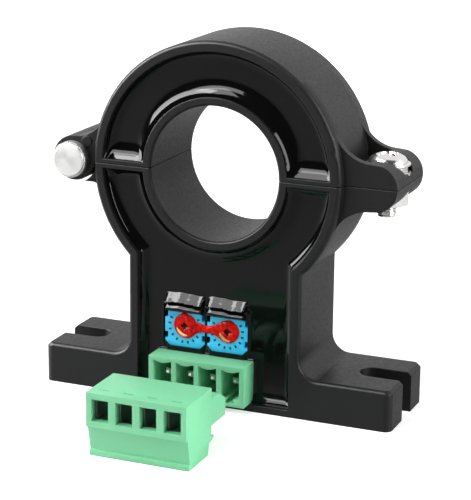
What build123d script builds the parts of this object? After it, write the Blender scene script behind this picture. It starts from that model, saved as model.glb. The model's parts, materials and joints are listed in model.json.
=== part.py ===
import math
import os

from build123d import *

# Split-core Hall-effect current sensor with a hinged cap and a loose four-way plug.
# Millimetres. The origin is on the mounting face, under the bore axis, at mid depth.
# +X runs along the base, +Z is up, and the potted front with the header faces -Y.

# ring and bore
bore_radius = 10.5
collar_wall = 1.3
ring_wall = 9.8
body_depth = 16.0
edge_break = 0.6
bore_edge_break = 0.4
parting_gap = 0.1

# column and feet
column_width = 28.7
base_length = 58.4
foot_thickness = 6.4
foot_blend_radius = 3.0
foot_corner_radius = 1.2
slot_width = 4.3
slot_length = 7.6

# front pocket and its filling
rim_wall = 1.6
back_wall = 1.5
bottom_wall = 1.1
rib_thickness = 0.65
fill_edge_depth = 0.55
fill_dish_share = 0.2174
fill_slope_angle = 40.0

# split core and Hall element
core_inner_clearance = 1.1
core_outer_clearance = 1.2
core_width = 8.0
core_centre_y = 0.5
sensing_gap = 2.0
hall_thickness = 1.55
hall_width = 4.1
hall_height = 3.1
lead_width = 0.4
lead_pitch = 1.27

# clamp ears on the right
ear_depth = 12.8
ear_overhang = 8.3
ear_half_height = 3.6
ear_nose_share = 0.31
gusset_share = 0.72
gusset_wall = 1.3
ear_pocket_inset = 4.6
ear_pocket_floor = 1.4
ear_pocket_round = 1.5
ear_pocket_root = 0.1

# clamp screw, washer and nut
screw_inset = 3.6
screw_diameter = 3.0
screw_core_diameter = 2.5
screw_hole_clearance = 0.2
screw_head_radius = 2.9
screw_head_height = 1.9
screw_length = 7.0
screw_seat_height = 1.0
washer_radius = 3.4
washer_thickness = 0.5
washer_clearance = 0.3
nut_across_flats = 5.5
nut_height = 2.2
nut_clearance = 0.1
thread_clearance = 0.15
swing_offset = 0.15

# hinge on the left
hinge_overhang = 4.1
knuckle_radius = 3.55
knuckle_centre_width = 3.8
knuckle_side_gap = 0.25
knuckle_sweep_gap = 0.4
hinge_gusset_radius = 5.5
hinge_lower_radius = 1.5
hinge_screw_diameter = 3.0
hinge_fit = 0.08
knob_radius = 2.9
knob_length = 2.05
knob_gap = 0.05
peg_radius = 0.85
peg_height = 0.15
peg_inset = 2.3
peg_rise = 2.85

# terminal header, shared by header and plug
poles = 4
pole_pitch = 3.81
header_x = -1.8
header_height = 6.5
header_length = 9.2
header_end_wall = 0.82
chamber_width = 3.05
chamber_depth = 8.0
chamber_floor = 1.2
chamber_height = 4.6
scallop_sag = 0.3
scallop_width = 2.5
key_groove_top = 1.1
key_groove_bottom = 1.6
key_groove_depth = 0.65
pin_width = 1.0
pin_tip_share = 0.3
pin_setback = 2.05
pin_tail = 1.2

# circuit board
board_thickness = 1.6
board_front_y = -0.9
board_side_gap = 0.4
board_core_gap = 0.5
board_head_room = 3.45
chip_length = 4.9
chip_width = 3.9
chip_height = 1.5
chip_z = 13.0

# trimmers
trimmer_size = 6.8
trimmer_depth = 5.3
trimmer_gap = 0.4
trimmer_rise = 0.75
trimmer_notch = 0.5
rotor_radius = 1.75
rotor_depth = 1.2
rotor_gap = 0.05
slot_cross_length = 2.4
slot_cross_width = 0.55
slot_cross_depth = 0.5
fill_ridge_height = 1.0
fill_ridge_length = 3.0
fill_ridge_inset = 0.3
fill_ridge_overlap = 1.15
lacquer_overlap = 0.35
lacquer_height = 0.45
lacquer_bridge = 1.5

# loose plug, lying upside down in front of the sensor
plug_x = -0.15
plug_front_y = -35.0
plug_height = 10.0
plug_body_length = 9.0
plug_end_wall = 0.85
plug_window_width = 2.7
plug_window_bottom = 5.65
plug_window_height = 3.35
plug_front_wall = 1.3
plug_panel_top = 4.75
plug_panel_step = 0.5
plug_panel_slope = 0.8
plug_lip_height = 0.9
plug_lip_depth = 0.35
plug_top_wall = 0.5
tongue_length = 7.2
tongue_clearance = 0.2
tongue_lead_in = 1.5
tongue_lead_length = 2.4
latch_height = 0.5
latch_reach = 0.9
latch_z = 2.2
test_slit_length = 1.65
test_slit_width = 0.25
test_slit_depth = 0.3
test_slit_setback = 1.7

# clamps, screws and contacts inside the plug
cage_width = 2.6
cage_length = 3.5
cage_wall = 0.2
cage_foot = 0.9
cage_clearance = 0.15
cage_travel = 1.6
cage_stop_gap = 0.1
plug_screw_diameter = 2.0
plug_screw_fit = 0.08
plug_screw_head_radius = 1.3
plug_screw_head_height = 1.1
plug_screw_recess = 0.4
plug_screw_bore_gap = 0.3
plug_web = 0.55
contact_width = 1.6
contact_thickness = 0.4
contact_tip_gap = 0.1
contact_clearance = 0.05
contact_channel_gap = 0.15
fork_leaf = 0.3

# derived places
half_depth = body_depth / 2
half_gap = parting_gap / 2
half_ear = ear_depth / 2
ring_radius = bore_radius + ring_wall
ring_inside = ring_radius - 2 * edge_break
collar_radius = bore_radius + collar_wall
pocket_radius = ring_radius - rim_wall
pocket_width = pocket_radius - collar_radius
pocket_half = column_width / 2 - rim_wall
pocket_back_y = half_depth - back_wall
fill_edge_y = -half_depth + fill_edge_depth
fill_dish_depth = fill_dish_share * pocket_width
core_inner = collar_radius + core_inner_clearance
core_outer = pocket_radius - core_outer_clearance
header_top = bottom_wall + header_height
board_top = header_top + trimmer_rise + trimmer_size + board_head_room
axis_height = board_top + lead_width + board_core_gap + core_outer
cap_floor = axis_height + half_gap
base_ceiling = axis_height - half_gap
ear_reach = ring_radius + ear_overhang
ear_nose_radius = ear_nose_share * ear_overhang
gusset_radius = gusset_share * ear_overhang
ear_pocket_end = ear_reach - ear_pocket_inset
screw_x = ear_reach - screw_inset
swing_x = screw_x + swing_offset
hinge_x = -ring_radius - hinge_overhang
peg_x = hinge_x + peg_inset
header_back_y = board_front_y
header_front_y = header_back_y - header_length
header_width = (poles - 1) * pole_pitch + chamber_width + 2 * header_end_wall
chamber_z = bottom_wall + chamber_floor
pin_z = chamber_z + chamber_height / 2
trimmer_pitch = trimmer_size + trimmer_gap
trimmer_z = header_top + trimmer_rise + trimmer_size / 2
trimmer_front_y = board_front_y - trimmer_depth
lacquer_radius = rotor_radius + lacquer_overlap
plug_width = (poles - 1) * pole_pitch + plug_window_width + 2 * plug_end_wall
socket_z = plug_height - pin_z


def slab(shape, y0, y1):
    """Extrude a sketch drawn in X and Z from depth y0 to depth y1."""
    return extrude(Plane.XZ.offset(-y1) * shape, amount=y1 - y0)


def lay(shape, z0, z1):
    """Extrude a sketch drawn in X and Y from height z0 to height z1."""
    return extrude(Plane.XY.offset(z0) * shape, amount=z1 - z0)


def block(x0, x1, y0, y1, z0, z1):
    """Plain block between two corners."""
    centre = Pos((x0 + x1) / 2, (y0 + y1) / 2, (z0 + z1) / 2)
    return centre * Box(x1 - x0, y1 - y0, z1 - z0)


def side_block(points, x0, x1):
    """Extrude a side view, given as depth and height, between two X positions."""
    face = make_face(Polyline(*points, close=True))
    return extrude(Plane.YZ.offset(x0) * face, amount=x1 - x0)


def disc(radius, x=0.0, z=axis_height):
    """Round outline in X and Z, by default about the bore axis."""
    return Pos(x, z) * Circle(radius)


def panel(x0, x1, z0, z1):
    """Rectangular outline in X and Z."""
    return Pos((x0 + x1) / 2, (z0 + z1) / 2) * Rectangle(x1 - x0, z1 - z0)


def post(radius, x, y, z0, z1):
    """Upright round bar."""
    return Pos(x, y, (z0 + z1) / 2) * Cylinder(radius, z1 - z0)


def above(shape, z):
    """Part of a solid above a height."""
    reach = 4 * base_length
    return shape & block(-reach, reach, -reach, reach, z, z + reach)


def below(shape, z):
    """Part of a solid below a height."""
    reach = 4 * base_length
    return shape & block(-reach, reach, -reach, reach, z - reach, z)


def pole_xs(centre):
    """X positions of the poles of a header or plug."""
    return [centre + (i - (poles - 1) / 2) * pole_pitch for i in range(poles)]


# housings


def bored(body):
    """Cut the bore through a body and break its edges."""
    body -= slab(disc(bore_radius), -half_depth, half_depth)
    rims = body.edges().filter_by(GeomType.CIRCLE)
    return chamfer([e for e in rims if abs(e.radius - bore_radius) < 1e-4], bore_edge_break)


def ring_body():
    """Full ring with its bore and with broken edges."""
    ring = slab(disc(ring_radius), -half_depth, half_depth)
    return bored(chamfer(ring.edges().filter_by(GeomType.CIRCLE), edge_break))


def stand_body():
    """Ring, column and two feet as one profile, with blends above the feet."""
    half_base = base_length / 2
    half_column = column_width / 2
    outline = panel(-half_base, half_base, 0, foot_thickness)
    outline += panel(-half_column, half_column, 0, axis_height)
    corners = [
        v
        for v in outline.vertices()
        if abs(v.Y - foot_thickness) < 1e-6 and abs(abs(v.X) - half_column) < 1e-6
    ]
    outline = fillet(corners, foot_blend_radius) + disc(ring_radius)
    stand = slab(outline, -half_depth, half_depth)
    ends = [
        e
        for e in stand.edges().filter_by(Axis.Z)
        if abs(abs(e.center().X) - half_base) < 1e-6
    ]
    stand = fillet(ends, foot_corner_radius)
    broken = []
    for e in stand.edges():
        low = e.center().Z < foot_thickness - 1e-6
        along_depth = abs(e.bounding_box().size.Y - body_depth) < 1e-6
        if low or along_depth:
            continue
        broken.append(e)
    return bored(chamfer(broken, edge_break))


def ear_outline():
    """Clamp ear: a round-nosed bar blended into the ring above and below."""
    shape = disc(ring_radius) + panel(
        0, ear_reach, axis_height - ear_half_height, axis_height + ear_half_height
    )
    nose = [v for v in shape.vertices() if abs(v.X - ear_reach) < 1e-6]
    shape = fillet(nose, ear_nose_radius)
    roots = [
        v
        for v in shape.vertices()
        if abs(math.hypot(v.X, v.Y - axis_height) - ring_radius) < 1e-4
        and abs(abs(v.Y - axis_height) - ear_half_height) < 1e-4
    ]
    shape = fillet(roots, gusset_radius)
    return shape - disc(ring_inside)


def hinge_outline():
    """Hinge arm: a bar that ends in the knuckle circle and blends into the ring."""
    low = axis_height - knuckle_radius
    high = axis_height + knuckle_radius
    shape = disc(ring_radius) + panel(hinge_x, 0, low, high)
    for level, radius in ((high, hinge_gusset_radius), (low, hinge_lower_radius)):
        root = [
            v
            for v in shape.vertices()
            if abs(v.Y - level) < 1e-4
            and abs(math.hypot(v.X, v.Y - axis_height) - ring_radius) < 1e-4
        ]
        shape = fillet(root, radius)
    shape += disc(knuckle_radius, hinge_x)
    return shape - disc(ring_inside)


def ear_pocket(side):
    """Hollow between the two gussets of an ear, above or below the parting."""
    floor = axis_height + side * ear_pocket_floor
    far = axis_height + side * (ear_half_height + 2 * gusset_radius)
    shape = panel(0, ear_pocket_end, min(floor, far), max(floor, far))
    shape -= disc(ring_radius - ear_pocket_root)
    inner = [
        v
        for v in shape.vertices()
        if abs(v.Y - floor) < 1e-6 and v.X < ear_pocket_end - 1e-6
    ]
    shape = fillet(inner, ear_pocket_round)
    half = half_ear - gusset_wall
    return slab(shape, -half, half)


def knuckle(y0, y1):
    """Round knuckle of the hinge between two depths."""
    return slab(disc(knuckle_radius, hinge_x), y0, y1)


def knuckle_relief(y0, y1):
    """Room in one half for a knuckle of the other."""
    return slab(disc(knuckle_radius + knuckle_sweep_gap, hinge_x), y0, y1)


def core_outline():
    """Ring-shaped section of the magnetic core."""
    return disc(core_outer) - disc(core_inner)


def core_ring():
    """Full core ring before it is parted."""
    half = core_width / 2
    return slab(core_outline(), core_centre_y - half, core_centre_y + half)


def cap_pocket_outline():
    """Front outline of the cap's pocket."""
    reach = ring_radius
    low = cap_floor + rib_thickness
    window = panel(-reach, reach, low, axis_height + reach)
    return (disc(pocket_radius) - disc(collar_radius)) & window


def base_pocket_outline():
    """Front outline of the base's pocket, from the ribs down to the bottom wall."""
    reach = ring_radius
    high = base_ceiling - rib_thickness
    shape = disc(pocket_radius) + panel(-pocket_half, pocket_half, 0, axis_height)
    shape -= disc(collar_radius)
    return shape & panel(-reach, reach, bottom_wall, high)


def make_cap_housing():
    """Upper half: half ring, clamp ear, hinge arm and two outer knuckles."""
    inner = knuckle_centre_width / 2 + knuckle_side_gap
    cap = above(ring_body() + slab(ear_outline(), -half_ear, half_ear), cap_floor)
    arm = above(slab(hinge_outline(), -half_ear, half_ear), cap_floor)
    cap += arm
    cap += knuckle(-half_ear, -inner)
    cap += knuckle(inner, half_ear)
    cap -= knuckle_relief(-inner, inner)
    cap -= slab(cap_pocket_outline(), -half_depth, pocket_back_y)
    cap -= core_ring()
    cap -= ear_pocket(1)
    seat = axis_height + screw_seat_height
    room = washer_radius + washer_clearance
    cap -= post(room, screw_x, 0, seat, seat + 4 * ear_half_height)
    hole = screw_diameter / 2 + screw_hole_clearance
    cap -= post(hole, screw_x, 0, axis_height - ring_radius, seat)
    cap -= slab(disc(hinge_screw_diameter / 2 + hinge_fit, hinge_x), -half_ear, half_ear)
    peg = slab(
        disc(peg_radius, peg_x, axis_height + peg_rise),
        -half_ear - peg_height,
        -half_ear + gusset_wall,
    )
    return cap + peg


def foot_slot(side):
    """Open-ended slot that runs into a foot from its end."""
    centre = base_length / 2 - slot_length + slot_width / 2
    mouth = base_length / 2 + slot_width
    shape = Pos(side * centre, 0) * Circle(slot_width / 2)
    run = Pos(side * (centre + mouth) / 2, 0) * Rectangle(mouth - centre, slot_width)
    return lay(shape + run, -1, foot_thickness + 1)


def nut_outline(clearance):
    """Hexagon of the clamp nut with two flats parallel to the ear's sides."""
    flat_radius = nut_across_flats / 2 + clearance
    return Pos(swing_x, 0) * RegularPolygon(flat_radius, 6, major_radius=False)


def make_base_housing():
    """Lower half: half ring, column, feet, clamp ear and the centre knuckle."""
    half = knuckle_centre_width / 2
    base = below(stand_body() + slab(ear_outline(), -half_ear, half_ear), base_ceiling)
    arm = below(slab(hinge_outline(), -half_ear, half_ear), base_ceiling)
    arm -= knuckle_relief(-half_ear, -half)
    arm -= knuckle_relief(half, half_ear)
    base += arm
    base += knuckle(-half, half)
    base -= slab(base_pocket_outline(), -half_depth, pocket_back_y)
    base -= core_ring()
    base -= ear_pocket(-1)
    low = axis_height - ear_half_height
    base -= lay(nut_outline(nut_clearance), low - 1, low + nut_height)
    hole = screw_diameter / 2 + screw_hole_clearance
    base -= post(hole, swing_x, 0, low, axis_height)
    base -= slab(disc(hinge_screw_diameter / 2 + hinge_fit, hinge_x), -half_ear, half_ear)
    for side in (-1, 1):
        base -= foot_slot(side)
    return base


# filling


def dished(outline):
    """Filling of a pocket whose face slopes down from the walls to a level floor."""
    fill = slab(outline, fill_edge_y, pocket_back_y)
    dish = extrude(
        Plane.XZ.offset(-fill_edge_y) * outline, amount=-fill_dish_depth, taper=fill_slope_angle
    )
    return fill - dish


def fill_ridge(x):
    """Swell of the filling that laps over the upper edge of one trimmer."""
    low = trimmer_z + trimmer_size / 2 - fill_ridge_overlap
    high = low + fill_ridge_length
    crest = trimmer_front_y - fill_ridge_height
    profile = [
        (board_front_y, low),
        (crest + fill_ridge_height / 2, low),
        (crest, low + fill_ridge_length / 5),
        (crest, low + fill_ridge_length * 2 / 5),
        (fill_edge_y + fill_dish_depth, high),
        (board_front_y, high),
    ]
    half = trimmer_size / 2 - fill_ridge_inset
    return side_block(profile, x - half, x + half)


def trimmer_xs():
    """X positions of the two trimmers."""
    return [header_x - trimmer_pitch / 2, header_x + trimmer_pitch / 2]


def make_base_filling(inside):
    """Filling of the base, cast round everything that stands in the pocket."""
    fill = dished(base_pocket_outline())
    for x in trimmer_xs():
        fill += fill_ridge(x)
    for piece in inside:
        fill -= piece
    return fill


def make_cap_filling(core):
    """Filling of the cap, cast round the upper half of the core."""
    return dished(cap_pocket_outline()) - core


# core, Hall element, board


def make_cap_core():
    """Upper half of the core."""
    return above(core_ring(), cap_floor)


def make_base_core(side):
    """One quarter of the core, from the parting to the sensing gap."""
    half = below(core_ring(), base_ceiling)
    reach = 2 * ring_radius
    near = sensing_gap / 2
    x0, x1 = (near, reach) if side > 0 else (-reach, -near)
    return half & block(x0, x1, -reach, reach, -reach, axis_height)


def hall_z():
    """Height of the Hall element's centre, in the middle of the core section."""
    return axis_height - (core_inner + core_outer) / 2


def make_hall_package():
    """Hall element in the sensing gap."""
    z = hall_z()
    y = core_centre_y
    return block(
        -hall_thickness / 2,
        hall_thickness / 2,
        y - hall_width / 2,
        y + hall_width / 2,
        z - hall_height / 2,
        z + hall_height / 2,
    )


def make_hall_lead(row, x):
    """Lead of the Hall element, bent over the top of the board to a pad at x."""
    top = hall_z() - hall_height / 2
    shelf = board_top + lead_width
    half = lead_width / 2
    y = core_centre_y + row * lead_pitch
    front = board_front_y - lead_width
    pad = board_top - 4 * lead_width
    lead = block(-half, half, y - half, y + half, board_top, top)
    lead += block(
        min(x, 0) - half, max(x, 0) + half, y - half, y + half, board_top, shelf
    )
    lead += block(x - half, x + half, front, y + half, board_top, shelf)
    lead += block(x - half, x + half, front, board_front_y, pad, shelf)
    return lead


def make_circuit_board():
    """Circuit board that carries the header, the trimmers and the amplifier."""
    half = pocket_half - board_side_gap
    board = block(
        -half,
        half,
        board_front_y,
        board_front_y + board_thickness,
        bottom_wall,
        board_top,
    )
    for x in pole_xs(header_x):
        board -= slab(pin_outline(x), board_front_y, board_front_y + board_thickness)
    return board


def make_amplifier_chip():
    """Amplifier package with its two rows of leads on the back of the board."""
    back = board_front_y + board_thickness
    half = chip_width / 2
    chip = block(
        -chip_length / 2,
        chip_length / 2,
        back,
        back + chip_height,
        chip_z - half,
        chip_z + half,
    )
    for i in range(4):
        x = (i - 1.5) * lead_pitch
        for side in (-1, 1):
            inner = chip_z + side * half
            outer = chip_z + side * (half + 1.0)
            chip += block(
                x - lead_width / 2,
                x + lead_width / 2,
                back,
                back + chip_height / 3,
                min(inner, outer),
                max(inner, outer),
            )
    return chip


# header


def make_header_housing():
    """Header shell with open chambers, scalloped roofs and key grooves."""
    half = header_width / 2
    shell = block(
        header_x - half,
        header_x + half,
        header_front_y,
        header_back_y,
        bottom_wall,
        header_top,
    )
    end = header_front_y + chamber_depth
    low = chamber_z
    high = chamber_z + chamber_height
    chord = scallop_width / 2
    bow = (chord**2 + scallop_sag**2) / (2 * scallop_sag)
    for x in pole_xs(header_x):
        room = panel(x - chamber_width / 2, x + chamber_width / 2, low, high)
        room -= disc(bow, x, high + bow - scallop_sag)
        shell -= slab(room, header_front_y, end)
        groove = make_face(
            Polyline(
                (x - key_groove_top / 2, low),
                (x + key_groove_top / 2, low),
                (x + key_groove_bottom / 2, low - key_groove_depth),
                (x - key_groove_bottom / 2, low - key_groove_depth),
                close=True,
            )
        )
        shell -= slab(groove, header_front_y, end)
        shell -= slab(pin_outline(x), end, header_back_y)
    return shell


def pin_outline(x):
    """Square section of a header pin."""
    half = pin_width / 2
    return panel(x - half, x + half, pin_z - half, pin_z + half)


def make_header_pin(x):
    """Square contact pin with a tapered tip and a solder tail through the board."""
    tip = header_front_y + pin_setback
    tail = board_front_y + board_thickness + pin_tail
    pin = slab(pin_outline(x), tip, tail)
    front = pin.faces().sort_by(Axis.Y)[0]
    return chamfer(front.edges(), pin_tip_share * pin_width)


# trimmers


def cross(x, z, y0, y1, length, width):
    """Cross-shaped slot."""
    one = panel(x - length / 2, x + length / 2, z - width / 2, z + width / 2)
    two = panel(x - width / 2, x + width / 2, z - length / 2, z + length / 2)
    return slab(one + two, y0, y1)


def trimmer_block(x):
    """Square body of a trimmer with notched sides."""
    half = trimmer_size / 2
    face = panel(x - half, x + half, trimmer_z - half, trimmer_z + half)
    for side in (-1, 1):
        for level in (-1, 1):
            z = trimmer_z + level * trimmer_size / 4
            face -= panel(
                x + side * half - trimmer_notch,
                x + side * half + trimmer_notch,
                z - trimmer_notch,
                z + trimmer_notch,
            )
    return slab(face, trimmer_front_y, board_front_y)


def make_trimmer_body(x):
    """Trimmer body with a round well for its rotor."""
    end = trimmer_front_y + rotor_depth
    well = slab(disc(rotor_radius + rotor_gap, x, trimmer_z), trimmer_front_y, end)
    return trimmer_block(x) - well


def make_trimmer_rotor(x):
    """Rotor disc with a cross slot, seated in the well of the body."""
    front = trimmer_front_y
    rotor = slab(disc(rotor_radius, x, trimmer_z), front, front + rotor_depth)
    return rotor - cross(
        x, trimmer_z, front, front + slot_cross_depth, slot_cross_length, slot_cross_width
    )


def make_sealing_lacquer():
    """Drop of sealing lacquer over both rotors with a bridge between them."""
    front = trimmer_front_y - lacquer_height
    left, right = trimmer_xs()
    low = trimmer_z - lacquer_bridge / 2
    high = trimmer_z + lacquer_bridge / 2
    drop = slab(panel(left, right, low, high), trimmer_front_y - 0.6 * lacquer_height, trimmer_front_y)
    for x in trimmer_xs():
        dome = slab(disc(lacquer_radius, x, trimmer_z), front, trimmer_front_y)
        drop += chamfer(dome.edges().sort_by(Axis.Y)[0], 0.8 * lacquer_height)
    return drop


# clamp and hinge hardware


def make_clamp_screw():
    """Pan-head screw with a cross recess; the shank is drawn at its thread's core."""
    seat = axis_height + screw_seat_height + washer_thickness
    top = seat + screw_head_height
    head = post(screw_head_radius, screw_x, 0, seat, top)
    head = chamfer(head.edges().sort_by(Axis.Z)[-1], 0.5 * screw_head_height)
    length = 1.15 * screw_head_radius
    width = 0.3 * screw_head_radius
    recess = Pos(screw_x, 0) * (Rectangle(length, width) + Rectangle(width, length))
    head -= lay(recess, top - 0.6 * screw_head_height, top)
    return head + post(screw_core_diameter / 2, screw_x, 0, seat - screw_length, seat)


def make_clamp_washer():
    """Flat washer between the screw head and the cap's ear."""
    seat = axis_height + screw_seat_height
    outer = post(washer_radius, screw_x, 0, seat, seat + washer_thickness)
    hole = screw_diameter / 2 + screw_hole_clearance
    return outer - post(hole, screw_x, 0, seat, seat + washer_thickness)


def make_clamp_nut():
    """Hexagon nut let into the underside of the lower ear."""
    low = axis_height - ear_half_height
    nut = lay(nut_outline(0), low, low + nut_height)
    hole = screw_diameter / 2 + thread_clearance
    return nut - post(hole, swing_x, 0, low, low + nut_height)


def make_hinge_screw():
    """Knurled-head screw that is the hinge pin, through all three knuckles."""
    back = -half_ear - knob_gap
    front = back - knob_length
    head = slab(disc(knob_radius, hinge_x), front, back)
    head = chamfer(head.edges().filter_by(GeomType.CIRCLE).sort_by(Axis.Y)[0], 0.3)
    shank = slab(disc(hinge_screw_diameter / 2, hinge_x), back, half_ear - 0.4)
    return head + shank


# loose plug

cage_front = plug_front_y + plug_front_wall
cage_room_end = cage_front + cage_length + 2 * cage_clearance
web_bottom = plug_screw_recess + plug_screw_head_height
web_top = web_bottom + plug_web
cage_z0 = web_top + cage_travel + cage_stop_gap
cage_z1 = plug_height - plug_top_wall - cage_stop_gap
bar_z = cage_z0 + cage_foot + 2 * contact_tip_gap + 0.2
plug_back_y = plug_front_y + plug_body_length
tongue_end_y = plug_back_y + tongue_length
tongue_z0 = socket_z - chamber_height / 2 + tongue_clearance
tongue_z1 = socket_z + chamber_height / 2 - tongue_clearance


def make_plug_housing():
    """Plug body with wire windows, screw wells, clamp rooms and four tongues."""
    y0 = plug_front_y
    step = y0 + plug_panel_step
    toe = step + plug_panel_slope
    lip = toe - plug_lip_depth
    half = plug_width / 2
    profile = [
        (lip, 0),
        (plug_back_y - 1.2, 0),
        (plug_back_y - 0.8, latch_z - latch_height),
        (plug_back_y + latch_reach, latch_z),
        (plug_back_y + latch_reach, latch_z + latch_height / 2),
        (plug_back_y - 0.3, latch_z + latch_height),
        (plug_back_y, tongue_z0),
        (plug_back_y, plug_height),
        (y0, plug_height),
        (y0, plug_panel_top),
        (step, plug_panel_top),
        (toe, plug_lip_height),
        (lip, plug_lip_height),
    ]
    body = side_block(profile, plug_x - half, plug_x + half)
    tongue = [
        (plug_back_y - 0.5, tongue_z0),
        (tongue_end_y, tongue_z0),
        (tongue_end_y, tongue_z1 - tongue_lead_in),
        (tongue_end_y - tongue_lead_length, tongue_z1),
        (plug_back_y - 0.5, tongue_z1),
    ]
    blade = chamber_width / 2 - tongue_clearance
    for x in pole_xs(plug_x):
        body += side_block(tongue, x - blade, x + blade)
    window_half = plug_window_width / 2
    room_half = cage_width / 2 + cage_clearance
    leaf_half = contact_width / 2 + contact_channel_gap
    bar_half = contact_width / 2 + contact_clearance
    fork = pin_width / 2 + fork_leaf + contact_channel_gap
    for x in pole_xs(plug_x):
        body -= block(
            x - window_half,
            x + window_half,
            y0,
            cage_front,
            plug_window_bottom,
            plug_window_bottom + plug_window_height,
        )
        body -= block(
            x - room_half,
            x + room_half,
            cage_front,
            cage_room_end,
            web_top,
            plug_height - plug_top_wall,
        )
        screw_y = (cage_front + cage_room_end) / 2
        bore = plug_screw_head_radius + plug_screw_bore_gap
        body -= post(bore, x, screw_y, 0, web_bottom)
        body -= post(
            plug_screw_diameter / 2 + plug_screw_fit, x, screw_y, web_bottom, web_top
        )
        body -= block(
            x - bar_half,
            x + bar_half,
            cage_room_end,
            plug_back_y,
            bar_z - contact_clearance,
            bar_z + contact_thickness + contact_clearance,
        )
        body -= block(
            x - leaf_half,
            x + leaf_half,
            plug_back_y,
            tongue_end_y,
            socket_z - fork,
            socket_z + fork,
        )
        body -= block(
            x - test_slit_length / 2,
            x + test_slit_length / 2,
            y0 + test_slit_setback - test_slit_width / 2,
            y0 + test_slit_setback + test_slit_width / 2,
            plug_height - test_slit_depth,
            plug_height,
        )
    return body


def make_plug_clamp(x):
    """Rising wire clamp: a square cage with a threaded foot."""
    y = (cage_front + cage_room_end) / 2
    half = cage_width / 2
    y0 = y - cage_length / 2
    y1 = y + cage_length / 2
    cage = block(x - half, x + half, y0, y1, cage_z0, cage_z1)
    cage -= block(
        x - half + cage_wall,
        x + half - cage_wall,
        y0,
        y1,
        cage_z0 + cage_foot,
        cage_z1 - cage_wall,
    )
    hole = plug_screw_diameter / 2 + plug_screw_fit
    return cage - post(hole, x, y, cage_z0, cage_z0 + cage_foot)


def make_plug_screw(x):
    """Terminal screw with a single slot, its head in the well of the housing."""
    y = (cage_front + cage_room_end) / 2
    head = post(plug_screw_head_radius, x, y, plug_screw_recess, web_bottom)
    length = 2 * plug_screw_head_radius
    head -= block(
        x - 0.2, x + 0.2, y - length, y + length, plug_screw_recess, plug_screw_recess + 0.5
    )
    return head + post(
        plug_screw_diameter / 2, x, y, web_bottom, bar_z - contact_tip_gap
    )


def make_plug_contact(x):
    """Contact: a bar through the clamp that ends in two spring leaves."""
    half = contact_width / 2
    front = cage_front + cage_clearance
    root = plug_back_y
    low = socket_z - pin_width / 2 - fork_leaf
    high = socket_z + pin_width / 2 + fork_leaf
    tip = tongue_end_y - 0.6
    contact = block(x - half, x + half, front, root, bar_z, bar_z + contact_thickness)
    contact += block(x - half, x + half, root, root + contact_thickness, low, high)
    contact += block(x - half, x + half, root, tip, low, low + fork_leaf)
    contact += block(x - half, x + half, root, tip, high - fork_leaf, high)
    return contact


# assembly


def build_parts():
    """All pieces by node name."""
    parts = {}
    parts["cap_housing"] = make_cap_housing()
    parts["cap_core"] = make_cap_core()
    parts["cap_filling"] = make_cap_filling(parts["cap_core"])
    parts["clamp_screw"] = make_clamp_screw()
    parts["clamp_washer"] = make_clamp_washer()
    parts["clamp_nut"] = make_clamp_nut()
    parts["hinge_screw"] = make_hinge_screw()
    parts["base_housing"] = make_base_housing()
    parts["base_core_left"] = make_base_core(-1)
    parts["base_core_right"] = make_base_core(1)
    parts["hall_package"] = make_hall_package()
    for i, (row, x) in enumerate(((1, -lead_pitch), (-1, 0), (0, lead_pitch))):
        parts[f"hall_lead_{i + 1}"] = make_hall_lead(row, x)
    parts["circuit_board"] = make_circuit_board()
    parts["amplifier_chip"] = make_amplifier_chip()
    parts["header_housing"] = make_header_housing()
    for i, x in enumerate(pole_xs(header_x)):
        parts[f"header_pin_{i + 1}"] = make_header_pin(x)
    for name, x in zip(("left", "right"), trimmer_xs()):
        parts[f"trimmer_{name}"] = make_trimmer_body(x)
        parts[f"trimmer_rotor_{name}"] = make_trimmer_rotor(x)
    parts["sealing_lacquer"] = make_sealing_lacquer()
    sealed = [
        "base_core_left",
        "base_core_right",
        "hall_package",
        "hall_lead_1",
        "hall_lead_2",
        "hall_lead_3",
        "circuit_board",
        "amplifier_chip",
    ]
    inside = [parts[name] for name in sealed]
    inside += [trimmer_block(x) for x in trimmer_xs()]
    half = header_width / 2
    inside.append(
        block(
            header_x - half,
            header_x + half,
            header_front_y,
            header_back_y,
            bottom_wall,
            header_top,
        )
    )
    inside += [parts[f"header_pin_{i + 1}"] for i in range(poles)]
    parts["base_filling"] = make_base_filling(inside)
    parts["plug_housing"] = make_plug_housing()
    for i, x in enumerate(pole_xs(plug_x)):
        parts[f"plug_clamp_{i + 1}"] = make_plug_clamp(x)
        parts[f"plug_screw_{i + 1}"] = make_plug_screw(x)
        parts[f"plug_contact_{i + 1}"] = make_plug_contact(x)
    return parts


def main():
    """Write one file for each piece."""
    os.makedirs("parts", exist_ok=True)
    for name, shape in build_parts().items():
        shape.label = name
        export_step(shape, f"parts/{name}.step")


main()
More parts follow.
